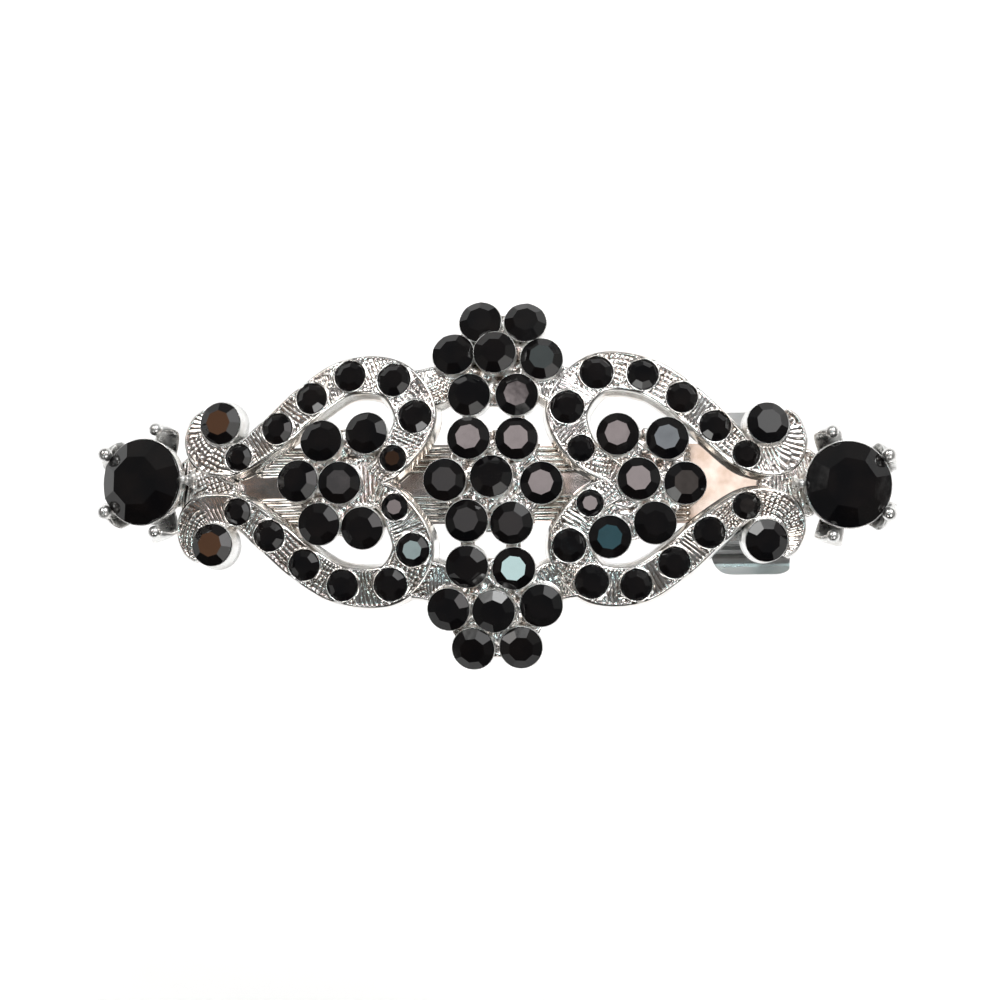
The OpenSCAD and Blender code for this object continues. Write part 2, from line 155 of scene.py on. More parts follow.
def on_face(x, y):
    """Points of the face over x and y, and the face's normals there."""
    point = np.stack([x, y, FACE[0] + FACE[1] * x * x + FACE[2] * y * y], axis=-1)
    normal = np.stack([-2 * FACE[1] * x, -2 * FACE[2] * y, np.ones_like(x)], axis=-1)
    return point, normal / np.linalg.norm(normal, axis=-1, keepdims=True)


# ---------------------------------------------------------------- mesh helpers

def add_mesh(name, points, faces, material):
    """A new smooth-shaded object from points in millimetres."""
    mesh = bpy.data.meshes.new(name)
    mesh.from_pydata((np.asarray(points, float) * MM).tolist(), [], [list(f) for f in faces])
    mesh.validate()
    mesh.polygons.foreach_set("use_smooth", [True] * len(mesh.polygons))
    mesh.materials.append(material)
    mesh.update()
    made = bpy.data.objects.new(name, mesh)
    bpy.context.scene.collection.objects.link(made)
    return made


def joined(parts):
    """Several (points, faces) as one."""
    points, faces, base = [], [], 0
    for p, f in parts:
        points.append(np.asarray(p, float))
        faces += [[i + base for i in face] for face in f]
        base += len(p)
    return np.concatenate(points), faces


def grid_faces(rows, columns, close_rows=False):
    """Quads over a grid of points, wrapped round its columns and, if asked, its rows."""
    faces = []
    for i in range(rows if close_rows else rows - 1):
        for j in range(columns):
            a, b = i * columns + j, i * columns + (j + 1) % columns
            c, d = (i + 1) % rows * columns + (j + 1) % columns, (i + 1) % rows * columns + j
            faces.append([a, b, c, d])
    return faces


def lathe(profile, centre, basis, segments=56):
    """A solid of revolution. The profile, of (radius, height), starts and ends on the axis."""
    inner = profile[1:-1]
    turn = np.linspace(0, 2 * math.pi, segments, endpoint=False)
    ring = np.stack([np.cos(turn), np.sin(turn)], axis=1) @ basis[:2]
    points = [centre + profile[0][1] * basis[2]]
    points += [centre + r * ring[k] + z * basis[2] for r, z in inner for k in range(segments)]
    points.append(centre + profile[-1][1] * basis[2])
    faces = [[1 + i for i in f] for f in grid_faces(len(inner), segments)]
    last = len(points) - 1
    first_of_end = 1 + (len(inner) - 1) * segments
    for k in range(segments):
        faces.append([0, 1 + (k + 1) % segments, 1 + k])
        faces.append([last, first_of_end + k, first_of_end + (k + 1) % segments])
    return np.array(points), faces


def strap(path, half_sizes, side, segments=20):
    """A rounded strap along a path. half_sizes are (along side, across it) at each point."""
    path = np.asarray(path, float)
    ahead = np.gradient(path, axis=0)
    ahead /= np.linalg.norm(ahead, axis=1, keepdims=True)
    turn = np.linspace(0, 2 * math.pi, segments, endpoint=False)
    points = []
    for p, a, (w, h) in zip(path, ahead, half_sizes):
        across = unit(side - (side @ a) * a)
        out = np.cross(a, across)
        points += [p + w * math.cos(t) * across + h * math.sin(t) * out for t in turn]
    faces = grid_faces(len(path), segments)
    faces += [list(range(segments))[::-1], [len(points) - segments + k for k in range(segments)]]
    return np.array(points), faces


def noise2(x, y, seed):
    """Smooth value noise from -1 to 1."""
    ix, iy = np.floor(x).astype(np.int64), np.floor(y).astype(np.int64)
    fx, fy = x - ix, y - iy
    fx, fy = fx * fx * (3 - 2 * fx), fy * fy * (3 - 2 * fy)

    def corner(i, j):
        h = (i * 374761393 + j * 668265263 + seed * 974711) & 0xFFFFFFFF
        h = ((h ^ (h >> 13)) * 1274126177) & 0xFFFFFFFF
        return (h ^ (h >> 16)) / 2.0 ** 31 - 1

    low = corner(ix, iy) * (1 - fx) + corner(ix + 1, iy) * fx
    high = corner(ix, iy + 1) * (1 - fx) + corner(ix + 1, iy + 1) * fx
    return low * (1 - fy) + high * fy


def step(x, low, high):
    """0 below low, 1 above high, and smooth between."""
    t = np.clip((x - low) / (high - low), 0, 1)
    return t * t * (3 - 2 * t)


def catmull(knots, per_span=24):
    """A smooth line through the knots, as many columns as they have."""
    knots = np.asarray(knots, float)
    padded = np.vstack([2 * knots[0] - knots[1], knots, 2 * knots[-1] - knots[-2]])
    out = []
    for i in range(1, len(padded) - 2):
        a, b, c, d = padded[i - 1:i + 3]
        for t in np.arange(per_span) / per_span:
            out.append(0.5 * (2 * b + t * (c - a) + t * t * (2 * a - 5 * b + 4 * c - d)
                              + t ** 3 * (3 * b - a - 3 * c + d)))
    out.append(knots[-1])
    return np.array(out)


def evenly(line, gap):
    """The line again, with its points about gap apart by its first two columns."""
    run = np.concatenate([[0], np.cumsum(np.linalg.norm(np.diff(line[:, :2], axis=0), axis=1))])
    at = np.linspace(0, run[-1], max(int(run[-1] / gap), 2))
    return np.stack([np.interp(at, run, line[:, k]) for k in range(line.shape[1])], axis=1), at


# ---------------------------------------------------------------- materials

def new_material(name):
    """A material with its nodes and links."""
    material = bpy.data.materials.new(name)
    material.use_nodes = True
    return material, material.node_tree.nodes, material.node_tree.links


def noise_node(nodes, links, scale, detail, stretch=(1, 1, 1)):
    """Noise in object coordinates, in metres."""
    place = nodes.new("ShaderNodeTexCoord")
    size = nodes.new("ShaderNodeMapping")
    size.inputs["Scale"].default_value = stretch
    made = nodes.new("ShaderNodeTexNoise")
    made.inputs["Scale"].default_value = scale
    made.inputs["Detail"].default_value = detail
    made.inputs["Roughness"].default_value = 0.55
    links.new(place.outputs["Object"], size.inputs["Vector"])
    links.new(size.outputs["Vector"], made.inputs["Vector"])
    return made


def ramp_node(nodes, links, source, stops):
    """A colour ramp over a source."""
    made = nodes.new("ShaderNodeValToRGB")
    while len(made.color_ramp.elements) < len(stops):
        made.color_ramp.elements.new(0.5)
    for element, (at, colour) in zip(made.color_ramp.elements, stops):
        element.position = at
        element.color = (*colour, 1)
    links.new(source, made.inputs["Fac"])
    return made


def range_node(nodes, links, source, low, high, start=0.3, stop=0.7):
    """A value that runs from low to high as the source runs from start to stop."""
    made = nodes.new("ShaderNodeMapRange")
    made.inputs["From Min"].default_value = start
    made.inputs["From Max"].default_value = stop
    made.inputs["To Min"].default_value = low
    made.inputs["To Max"].default_value = high
    links.new(source, made.inputs["Value"])
    return made


def bump_node(nodes, links, source, shader, strength, distance):
    """Fine relief, distance metres high."""
    made = nodes.new("ShaderNodeBump")
    made.inputs["Strength"].default_value = strength
    made.inputs["Distance"].default_value = distance
    links.new(source, made.inputs["Height"])
    links.new(made.outputs["Normal"], shader.inputs["Normal"])


def cast_metal(name, bright, dull, rough, engraved=False):
    """Bright plating over a casting: faint tints, uneven polish and, if engraved, tarnish and painted
    shade in the cuts.
    """
    material, nodes, links = new_material(name)
    shader = nodes["Principled BSDF"]
    shader.inputs["Metallic"].default_value = 1.0
    tint = noise_node(nodes, links, 420, 3)
    colour = ramp_node(nodes, links, tint.outputs["Fac"],
                       [(0.36, dull), (0.56, bright), (1.0, bright)])
    out = colour.outputs["Color"]
    if engraved:
        cut = nodes.new("ShaderNodeAttribute")
        cut.attribute_name = "cut"
        # Tarnish and painted shade: the cuts go from the plating's own colour down to near black the
        # deeper they are, and the dark end stands in for the shadow inside the grooves.
        tarnish_and_painted_shade = ramp_node(nodes, links, cut.outputs["Fac"],
                         [(0.35, (1, 1, 1)), (0.7, (0.50, 0.44, 0.40)), (1.0, (0.10, 0.08, 0.07))])
        mixed = nodes.new("ShaderNodeMix")
        mixed.data_type = "RGBA"
        mixed.blend_type = "MULTIPLY"
        mixed.inputs["Factor"].default_value = 1.0
        links.new(out, mixed.inputs["A"])
        links.new(tarnish_and_painted_shade.outputs["Color"], mixed.inputs["B"])
        out = mixed.outputs["Result"]
    links.new(out, shader.inputs["Base Color"])
    polish = noise_node(nodes, links, 900, 5)
    uneven = range_node(nodes, links, polish.outputs["Fac"], rough * 0.6, rough * 1.5)
    links.new(uneven.outputs["Result"], shader.inputs["Roughness"])
    grain = noise_node(nodes, links, 2600, 6)
    bump_node(nodes, links, grain.outputs["Fac"], shader, 0.35, 0.00004 if engraved else 0.000004)
    return material


def sheet_metal(name, bright, dull, rough):
    """Plated sheet with a fine lengthways grain."""
    material, nodes, links = new_material(name)
    shader = nodes["Principled BSDF"]
    shader.inputs["Metallic"].default_value = 1.0
    grain = noise_node(nodes, links, 700, 6, stretch=(0.04, 1, 1))
    tint = noise_node(nodes, links, 260, 3)
    colour = ramp_node(nodes, links, tint.outputs["Fac"], [(0.35, dull), (0.6, bright)])
    links.new(colour.outputs["Color"], shader.inputs["Base Color"])
    brushed = range_node(nodes, links, grain.outputs["Fac"], rough * 0.7, rough * 1.4)
    links.new(brushed.outputs["Result"], shader.inputs["Roughness"])
    bump_node(nodes, links, grain.outputs["Fac"], shader, 0.25, 0.000008)
    return material


def black_glass(name):
    """Jet glass: near black, glossy, with faint unevenness in its polish."""
    material, nodes, links = new_material(name)
    shader = nodes["Principled BSDF"]
    shader.inputs["IOR"].default_value = 1.56
    tint = noise_node(nodes, links, 300, 2)
    colour = ramp_node(nodes, links, tint.outputs["Fac"],
                       [(0.35, (0.003, 0.003, 0.004)), (0.7, (0.009, 0.007, 0.007))])
    links.new(colour.outputs["Color"], shader.inputs["Base Color"])
    polish = noise_node(nodes, links, 700, 4)
    uneven = range_node(nodes, links, polish.outputs["Fac"], 0.02, 0.07)
    links.new(uneven.outputs["Result"], shader.inputs["Roughness"])
    wave = noise_node(nodes, links, 500, 2)
    bump_node(nodes, links, wave.outputs["Fac"], shader, 0.12, 0.00003)
    return material


engraved_silver = cast_metal("engraved_silver", (0.96, 0.955, 0.94), (0.80, 0.75, 0.70), 0.15,
                             engraved=True)
smooth_silver = cast_metal("smooth_silver", (0.90, 0.90, 0.89), (0.80, 0.79, 0.77), 0.28)
jet = black_glass("jet_glass")
bar_metal = sheet_metal("bar_nickel", (0.92, 0.90, 0.87), (0.62, 0.54, 0.47), 0.10)
catch_metal = sheet_metal("catch_nickel", (0.52, 0.53, 0.53), (0.42, 0.43, 0.43), 0.28)
lock_metal = sheet_metal("lock_nickel", (0.80, 0.80, 0.79), (0.68, 0.67, 0.66), 0.26)
spring_metal = sheet_metal("spring_nickel", (0.70, 0.70, 0.70), (0.58, 0.58, 0.58), 0.24)
pin_metal = sheet_metal("pin_nickel", (0.76, 0.76, 0.75), (0.62, 0.61, 0.60), 0.22)


# ---------------------------------------------------------------- scroll bands

THICK = 1.85          # of the casting, below its face
DRAFT = 0.38          # spread of its walls
TOP_COLUMNS = 46
RIM = 0.24            # width of the smooth rim along an edge
ENGRAVED_DEPTH = 0.095
RING_GAP = 0.085      # between the rows of points along a band
BEZEL_RISE = 0.09     # of the metal pushed up round a sunk stone
POCKET_DEPTH = 0.6    # of the hole that it sits in


def engraving(u, v, seed):
    """Depth, 0 to 1, of the cut texture: patches of grooves across the band, some of them cross-cut.

    u runs along the band and v across it, in millimetres.
    """
    u = u + 0.05 * noise2(u / 0.9, v / 0.9, seed)
    v = v + 0.05 * noise2(u / 0.8 + 7, v / 0.8, seed + 1)
    patch = np.floor(u / 2.3 + 0.45 * noise2(u / 2, v / 2, seed + 5))
    turn = np.radians(20 * noise2(patch * 1.7, patch * 0.9, seed + 9) + 6)
    a = u * np.cos(turn) + v * np.sin(turn)
    b = v * np.cos(turn) - u * np.sin(turn)
    pitch = 0.41 + 0.05 * noise2(patch * 2.3, patch, seed + 11)
    groove = (0.5 + 0.5 * np.cos(2 * math.pi * a / pitch)) ** 1.3
    crossed = step(noise2(patch * 3.1 + 0.5, patch * 1.3, seed + 13), -0.15, 0.25)
    cross = crossed * (0.5 + 0.5 * np.cos(2 * math.pi * b / 0.52)) ** 2
    weight = 0.62 + 0.38 * noise2(u / 1.1, v / 0.8, seed + 15)
    nicks = step(noise2(u / 0.16, v / 0.30, seed + 3), 0.25, 0.8)
    return np.clip(np.maximum(groove * weight, 0.9 * cross) * 0.9 + 0.25 * nicks, 0, 1)


def bezels(points, stones):
    """Rise of the metal round sunk stones, and 0 to 1 how far the engraving shows there."""
    rise = np.zeros(len(points))
    shown = np.ones(len(points))
    for s in stones:
        to = points - s.centre
        d = np.linalg.norm(to - np.outer(to @ s.axis, s.axis), axis=1)
        near = np.abs(to @ s.axis) < 2.5   # leaves out what only lines up with the stone's axis
        collar = BEZEL_RISE * np.exp(-((d - s.r - 0.15) / 0.08) ** 2)
        pocket = -POCKET_DEPTH * (1 - step(d, s.r - 0.03, s.r + 0.07))
        rise += np.where(near, collar + pocket, 0)
        shown *= np.where(near, step(d, s.r + 0.18, s.r + 0.32), 1)
    return rise, shown


def ribbon(knots, stones, seed, lift=0.0):
    """A band of the casting along knots of (x, y, width): engraved top, smooth rims, drafted walls.

    Returns its points, its faces and how deep each point is cut.
    """
    line, run = evenly(catmull(knots), RING_GAP)
    ahead = np.gradient(line[:, :2], axis=0)
    ahead /= np.linalg.norm(ahead, axis=1, keepdims=True)
    side = np.stack([-ahead[:, 1], ahead[:, 0]], axis=1)
    half = line[:, 2] / 2
    across = np.linspace(-1, 1, TOP_COLUMNS)
    offset = half[:, None] * across
    xy = line[:, None, :2] + side[:, None] * offset[..., None]
    point, normal = on_face(xy[..., 0], xy[..., 1])
    from_edge = half[:, None] - np.abs(offset)
    rise, shown = bezels(point.reshape(-1, 3), stones)
    rise, shown = rise.reshape(offset.shape), shown.reshape(offset.shape)
    shown = shown * step(from_edge, RIM * 0.8, RIM * 1.5)
    cut = engraving(np.broadcast_to(run[:, None], offset.shape), offset, seed) * shown
    rounding = -0.10 * (1 - step(from_edge, 0, RIM * 0.7))
    bead = 0.03 * np.exp(-((from_edge - RIM) / 0.09) ** 2)
    top = point + normal * (lift + rise + (rounding + bead) - ENGRAVED_DEPTH * cut)[..., None]

    def below(s, out, down):
        """A row of points beside the top's edge on one side."""
        p = line[:, :2] + side * (s * (half + out))[:, None]
        q, n = on_face(p[:, 0], p[:, 1])
        return q + n * (lift + down)

    walls = [(0.05, -0.22), (0.10, -0.45), (DRAFT * 0.6, -THICK * 0.55), (DRAFT, -THICK * 0.9),
             (DRAFT - 0.05, -THICK)]
    right = [below(1, out, down) for out, down in walls]
    left = [below(-1, out, down) for out, down in reversed(walls)]
    rows = np.concatenate([top, np.stack(right + left, axis=1)], axis=1)
    cuts = np.concatenate([cut, np.zeros((len(line), len(right) + len(left)))], axis=1)
    count = rows.shape[1]
    faces = [f[::-1] for f in grid_faces(len(line), count)]
    faces += [list(range(count)), [len(line) * count - 1 - k for k in range(count)]]
    return rows.reshape(-1, 3), faces, cuts.reshape(-1)


def add_ribbons(name, ribbons):
    """One object from several ribbons, with how deep each point is cut kept for the material."""
    made = add_mesh(name, *joined([(p, f) for p, f, _ in ribbons]), engraved_silver)
    # The material darkens each point by this depth, as tarnish and painted shade in the cuts.
    cut = made.data.attributes.new("cut", "FLOAT", "POINT")
    cut.data.foreach_set("value", np.concatenate([c for _, _, c in ribbons]).astype(np.float32))
    return made


# Widths of a band at its stones, from the clip's end inwards
BAND_WIDTH = (3.1, 3.5, 3.7, 3.8, 4.1, 4.3, 3.2)
# The start of a band beside its leaf stone: how far outwards along X and Y, and the width there
LEAF_KNOTS = ((1.6, 1.4, 0.9), (2.2, 0.1, 2.4), (2.0, -1.6, 3.9), (0.8, -3.0, 4.4))
# The shoulder, where a heart meets the cluster: X, Y and width
SHOULDER = ((8.6, 10.0, 3.0), (6.6, 9.8, 4.0), (4.6, 10.3, 3.4), (3.2, 10.6, 2.0))


def scroll_band(where):
    """One of the four bands, from its leaf through its seven stones to the heart's cusp."""
    sx = 1 if "right" in where else -1
    sy = 1 if "back" in where else -1
    stones = bands[where]
    leaf = leaves[where].centre
    knots = [(leaf[0] + sx * dx, leaf[1] + sy * dy, w) for dx, dy, w in LEAF_KNOTS]
    knots += [(*s.centre[:2], w) for s, w in zip(stones, BAND_WIDTH)]
    knots += [(sx * 12.2, sy * 0.7, 2.4)]
    near = stones + [leaves[where]]
    seed = SEED + SIDES.index(where) * 31
    parts = [ribbon(knots, near, seed)]
    shoulder = [(sx * x, sy * y, w) for x, y, w in SHOULDER]
    parts.append(ribbon(shoulder, near + cluster, seed + 1, lift=-0.04))
    return add_ribbons(f"scroll_band_{where}", parts)


def cusp(end):
    """The engraved patch between a heart's cusp and its flower."""
    sx = 1 if end == "right" else -1
    near = bands[f"{end}_back"] + bands[f"{end}_front"] + flowers[end]
    knots = [(sx * 10.2, 0, 1.2), (sx * 11.4, 0, 4.2), (sx * 13.2, 0, 5.4), (sx * 14.8, 0, 4.0)]
    return ribbon(knots, near, SEED + 50 + ENDS.index(end), lift=-0.10)


def neck(end):
    """The engraved patch between a setting and the leaves."""
    sx = 1 if end == "right" else -1
    near = bands[f"{end}_back"] + bands[f"{end}_front"]
    knots = [(sx * 26.6, 0, 0.8), (sx * 28.2, 0, 2.4), (sx * 29.8, 0, 5.4), (sx * 31.2, 0, 6.8),
             (sx * 32.2, 0, 5.6)]
    return ribbon(knots, near, SEED + 60 + ENDS.index(end), lift=-0.25)


# ---------------------------------------------------------------- cups and web

def cup(stone, floor=-1.85, flare=0.0):
    """A round cup that holds a stone just under its girdle."""
    r = stone.r
    outside = [(0, floor), (r * 0.7 + flare, floor), (r - 0.02 + flare, floor + 0.12),
               (r + 0.03 + flare * 0.5, floor * 0.55), (r + 0.09, -0.46), (r + 0.09, -0.14)]
    lip = [(r + 0.06, -0.05), (r + 0.02, -0.045)]
    inside = [(r + 0.008, -0.09), (r + 0.008, -0.3), (r * 0.35, -1.62), (0, -1.66)]
    return lathe(outside + lip + inside, stone.centre, stone.basis())


def disc_points(x, y, r, low, high):
    """Two rings of points round (x, y), at these heights from the face."""
    turn = np.linspace(0, 2 * math.pi, 20, endpoint=False)
    point, normal = on_face(x + r * np.cos(turn), y + r * np.sin(turn))
    return np.concatenate([point + low * normal, point + high * normal])


def hull(points):
    """The convex hull of some points, as points and faces."""
    work = bmesh.new()
    for p in points:
        work.verts.new(p)
    made = bmesh.ops.convex_hull(work, input=work.verts)
    spare = made["geom_interior"] + made["geom_unused"]
    inside = [g for g in spare if isinstance(g, bmesh.types.BMVert)]
    bmesh.ops.delete(work, geom=list(set(inside)), context="VERTS")
    work.verts.index_update()
    result = np.array([v.co for v in work.verts]), [[v.index for v in f.verts] for f in work.faces]
    work.free()
    return result


def fused(name, parts, voxel):
    """Solids melted into one skin by a voxel remesh, as points, their normals and faces."""
    rough = add_mesh(name, *joined(parts), smooth_silver)
    rough.data.transform(Matrix.Scale(1 / MM, 4))
    melt = rough.modifiers.new("melt", "REMESH")
    melt.mode = "VOXEL"
    melt.voxel_size = voxel
    ease = rough.modifiers.new("ease", "SMOOTH")
    ease.iterations = 3
    done = rough.evaluated_get(bpy.context.evaluated_depsgraph_get()).to_mesh()
    points = np.array([v.co for v in done.vertices], float)
    normals = np.array([v.normal for v in done.vertices], float)
    faces = [list(p.vertices) for p in done.polygons]
    bpy.data.objects.remove(rough)
    return points, normals, faces


# Groups and pairs of cluster stones, from 0, with metal between them
WEB_PLATES = ((0, 1, 2, 3, 4), (2, 3, 4, 5, 6), (7, 8, 9, 10, 11), (9, 10, 11, 12, 13),
              (14, 15, 16, 17, 18), (16, 17, 18, 19, 20))
WEB_LINKS = ((5, 7), (6, 8), (12, 14), (13, 15), (5, 6), (14, 15))
WEB_VOXEL = 0.17


def web():
    """The nuggety metal between and under the cups."""
    def plate(stones, r=1.0):
        return hull(np.concatenate([disc_points(*s.centre[:2], r, -1.8, -0.45) for s in stones]))

    parts = [plate([cluster[i] for i in group]) for group in WEB_PLATES]
    parts += [plate([cluster[i] for i in pair], 0.75) for pair in WEB_LINKS]
    parts += [plate(flowers[e]) for e in ENDS]
    for e in ENDS:
        # the tongue that carries the end setting
        sx = 1 if e == "right" else -1
        stone = ends[e]
        foot = stone.centre - stone.axis * 3.6
        basis = stone.basis()
        turn = np.linspace(0, 2 * math.pi, 20, endpoint=False)
        rim = 2.2 * (np.cos(turn)[:, None] * basis[0] + np.sin(turn)[:, None] * basis[1])
        pad = np.concatenate([foot + rim, foot + rim - 0.9 * basis[2]])
        middle = disc_points(sx * 31.6, 0, 1.8, -2.6, -1.4)
        root = disc_points(sx * 29.2, 0, 2.4, -1.8, -0.5)
        parts.append(hull(np.concatenate([root, middle])))
        parts.append(hull(np.concatenate([middle, pad])))
    points, normals, faces = fused("web", parts, WEB_VOXEL)
    coarse = noise2(points[:, 0] / 0.55, points[:, 1] / 0.55, SEED + 71)
    fine = noise2(points[:, 0] / 0.26, points[:, 1] / 0.26, SEED + 72)
    lumps = 0.15 * coarse + 0.07 * fine
    upward = step(normals[:, 2], 0.2, 0.7)
    points = points + normals * (lumps * upward)[:, None]
    # The hollows between the lumps get a cut value too, so the material paints tarnish and shade into
    # them.
    cut = np.clip(0.42 - lumps * 3.4, 0, 1) * upward
    return points, faces, cut


# ---------------------------------------------------------------- end settings

# Reach of each prong and radius of its ball, from the prong that faces the clip's middle, round
PRONGS = ((4.85, 0.46), (5.5, 0.66), (5.0, 0.74), (5.0, 0.74), (5.5, 0.66))


def prong(stone, angle, reach, ball):
    """A strap that rises from the basket's foot and ends in a ball over the stone's edge."""
    inward = (1.0, 0, 0) if stone.centre[0] < 0 else (-1.0, 0, 0)
    basis = stone.basis(inward)
    out = math.cos(angle) * basis[0] + math.sin(angle) * basis[1]
    side = np.cross(basis[2], out)

    def at(r, z):
        return stone.centre + r * out + z * basis[2]

    knots = [(2.5, -3.35), (4.0, -2.95), (reach, -2.2), (reach + 0.4, -1.2), (reach + 0.1, -0.1)]
    line = catmull([[*at(r, z)] for r, z in knots], 8)
    share = np.linspace(0, 1, len(line))
    widths = np.interp(share, [0, 0.3, 0.6, 0.85, 1], np.array([1.2, 1.5, 1.6, 1.05, 0.6]) * ball / 0.7)
    leg = strap(line, np.stack([widths, 0.26 + 0.10 * share], axis=1), side)
    turns = np.linspace(0, math.pi, 15)
    profile = [(ball * math.sin(t), -ball * math.cos(t)) for t in turns]
    profile[0], profile[-1] = (0, -ball), (0, ball)
    return [leg, lathe(profile, at(reach, 0.28), basis, 28)]


def end_setting(end):
    """The basket of an end stone: a collar round its girdle, a foot ring and five prongs."""
    stone = ends[end]
    r = stone.r
    basis = stone.basis()
    below = [(r - 0.6, -1.35), (r - 0.15, -1.5), (r + 0.08, -1.2)]
    outside = [(r + 0.12, -0.6), (r + 0.17, -0.35), (r + 0.15, -0.16)]
    lip = [(r + 0.08, -0.08), (r + 0.02, -0.12)]
    inside = [(r + 0.01, -0.36), (r - 0.5, -0.8), (r - 0.75, -1.1)]
    foot = [(2.1, -3.5), (2.95, -3.5), (3.05, -3.1), (2.95, -2.75), (2.15, -2.75)]
    parts = [ring(below + outside + lip + inside, stone.centre, basis), ring(foot, stone.centre, basis)]
    for k, (reach, ball) in enumerate(PRONGS):
        parts += prong(stone, math.radians(72 * k), reach, ball)
    made = add_mesh(f"prong_setting_{end}", *joined(parts), smooth_silver)
    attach(made, "clip_base")
    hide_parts(f"end_setting_{end}")
    return made


def ring(profile, centre, basis):
    """A closed ring: a profile of (radius, height) turned about the axis."""
    segments = 64
    turn = np.linspace(0, 2 * math.pi, segments, endpoint=False)
    rim = np.stack([np.cos(turn), np.sin(turn)], axis=1) @ basis[:2]
    points = np.array([centre + r * rim[k] + z * basis[2] for r, z in profile for k in range(segments)])
    return points, grid_faces(len(profile), segments, close_rows=True)


# ---------------------------------------------------------------- base bar

RIBS = (1.3, 1.85, 2.4, 2.95, 3.5)   # how far the bar's ribs lie from its middle
RIB_ENDS = (-24.4, 19.4)             # where they start and stop along X
RIB_HALF = (0.25, 0.20)              # half their width and height


def bar_ribs():
    """The rounded tops of the ribs pressed up along the base bar."""
    points, tris = welded("base_bar")
    bar = BVHTree.FromPolygons(points.tolist(), tris.tolist())
    parts = []
    for y in [s * rib for s in (-1, 1) for rib in RIBS]:
        path = []
        for x in np.linspace(*RIB_ENDS, 64):
            hit = bar.ray_cast(Vector((x, y, 50)), Vector((0, 0, -1)))[0]
            path.append([x, y, hit.z])
        parts.append(strap(path, [RIB_HALF] * len(path), np.array([0, 1.0, 0]), 16))
    made = add_mesh("bar_ribs", *joined(parts), bar_metal)
    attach(made, "clip_base")


# ---------------------------------------------------------------- making the ornament

POSTS = (-12.0, 12.0)   # where the casting's two posts stand along X


def post_heads():
    """The peened ends of the casting's posts, under the base bar."""
    points, _ = welded("base_bar")
    parts = []
    for x in POSTS:
        near = points[np.linalg.norm(points[:, :2] - (x, 0), axis=1) < 1.2]
        centre = np.array([x, 0, near[:, 2].min()])
        head = [(0, -0.42), (0.55, -0.40), (1.0, -0.28), (1.3, -0.06), (1.25, 0.02), (0.9, 0.04)]
        shank = [(0.9, 2.0), (0, 2.0)]
        parts.append(lathe(head + shank, centre, np.eye(3), 40))
    return parts


ornament = [scroll_band(side) for side in SIDES]
ornament.append(add_ribbons("cusps_and_necks", [cusp(e) for e in ENDS] + [neck(e) for e in ENDS]))
ornament.append(add_ribbons("web", [web()]))
smooth_pieces = {
    "cluster_cups": [cup(s) for s in cluster],
    "flower_cups": [cup(s) for e in ENDS for s in flowers[e]],
    "leaf_cups": [cup(leaves[s], -2.1, 0.35) for s in SIDES],
    "post_heads": post_heads(),
}
for name, solids in smooth_pieces.items():
    ornament.append(add_mesh(name, *joined(solids), smooth_silver))
for piece in ornament:
    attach(piece, "clip_base")
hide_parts("ornament_casting")
for end in ENDS:
    end_setting(end)
bar_ribs()


# ---------------------------------------------------------------- CAD nodes that stay

def dress(node, material, bevel, angle=30):
    """Gives a CAD node its material and softens its edges."""
    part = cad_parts[node]
    part.data.materials.clear()
    part.data.materials.append(material)
    soften = part.modifiers.new("soft_edges", "BEVEL")
    soften.width = bevel * MM
    soften.segments = 2
    soften.limit_method = "ANGLE"
    soften.angle_limit = math.radians(angle)
    soften.harden_normals = False
    return part


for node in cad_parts:
    if "stone" in node:
        dress(node, jet, 0.025, 12)
dress("base_bar", bar_metal, 0.06)
dress("lock_bar", lock_metal, 0.08)
dress("tension_bow", spring_metal, 0.05)
for node in ("catch_plate", "catch_wing_back", "catch_wing_front"):
    dress(node, catch_metal, 0.08)
for node in ("hinge_pin", "catch_rivets"):
    dress(node, pin_metal, 0.05)


# ---------------------------------------------------------------- floor, light and camera

FLOOR_Z = -56.0             # about as low as the tip of the lock bar when it hangs open
FLOOR_HALF = 900.0
GLOW_RANGE = (0.11, 0.30)   # metres from the middle, between which the floor's own light falls off
GLOW = (0.50, 0.10)         # and its strength there


def studio_floor():
    """A pale floor that is brightest under the clip."""
    material, nodes, links = new_material("pale_floor")
    shader = nodes["Principled BSDF"]
    shader.inputs["Roughness"].default_value = 0.9
    shader.inputs["Specular IOR Level"].default_value = 0.1
    mottle = noise_node(nodes, links, 60, 3)
    pale = ramp_node(nodes, links, mottle.outputs["Fac"],
                     [(0.3, (0.93, 0.93, 0.93)), (0.7, (0.95, 0.95, 0.95))])
    links.new(pale.outputs["Color"], shader.inputs["Base Color"])
    links.new(pale.outputs["Color"], shader.inputs["Emission Color"])
    place = nodes.new("ShaderNodeTexCoord")
    away = nodes.new("ShaderNodeVectorMath")
    away.operation = "LENGTH"
    links.new(place.outputs["Object"], away.inputs[0])
    glow = range_node(nodes, links, away.outputs["Value"], *GLOW, *GLOW_RANGE)
    links.new(glow.outputs["Result"], shader.inputs["Emission Strength"])
    around_middle = ((-1, -1), (1, -1), (1, 1), (-1, 1))
    corners = [(x * FLOOR_HALF, y * FLOOR_HALF, FLOOR_Z) for x, y in around_middle]
    floor = add_mesh("floor", corners, [[0, 1, 2, 3]], material)


def area_light(name, place, size, power, colour=(1, 1, 1)):
    """A soft rectangular light at place, in metres, aimed at the origin."""
    lamp = bpy.data.lights.new(name, "AREA")
    lamp.shape = "RECTANGLE"
    lamp.size, lamp.size_y = size
    lamp.energy = power
    lamp.color = colour
    made = bpy.data.objects.new(name, lamp)
    made.location = place
    made.rotation_mode = "QUATERNION"
    made.rotation_quaternion = (-Vector(place)).to_track_quat("-Z", "Y")
    bpy.context.scene.collection.objects.link(made)


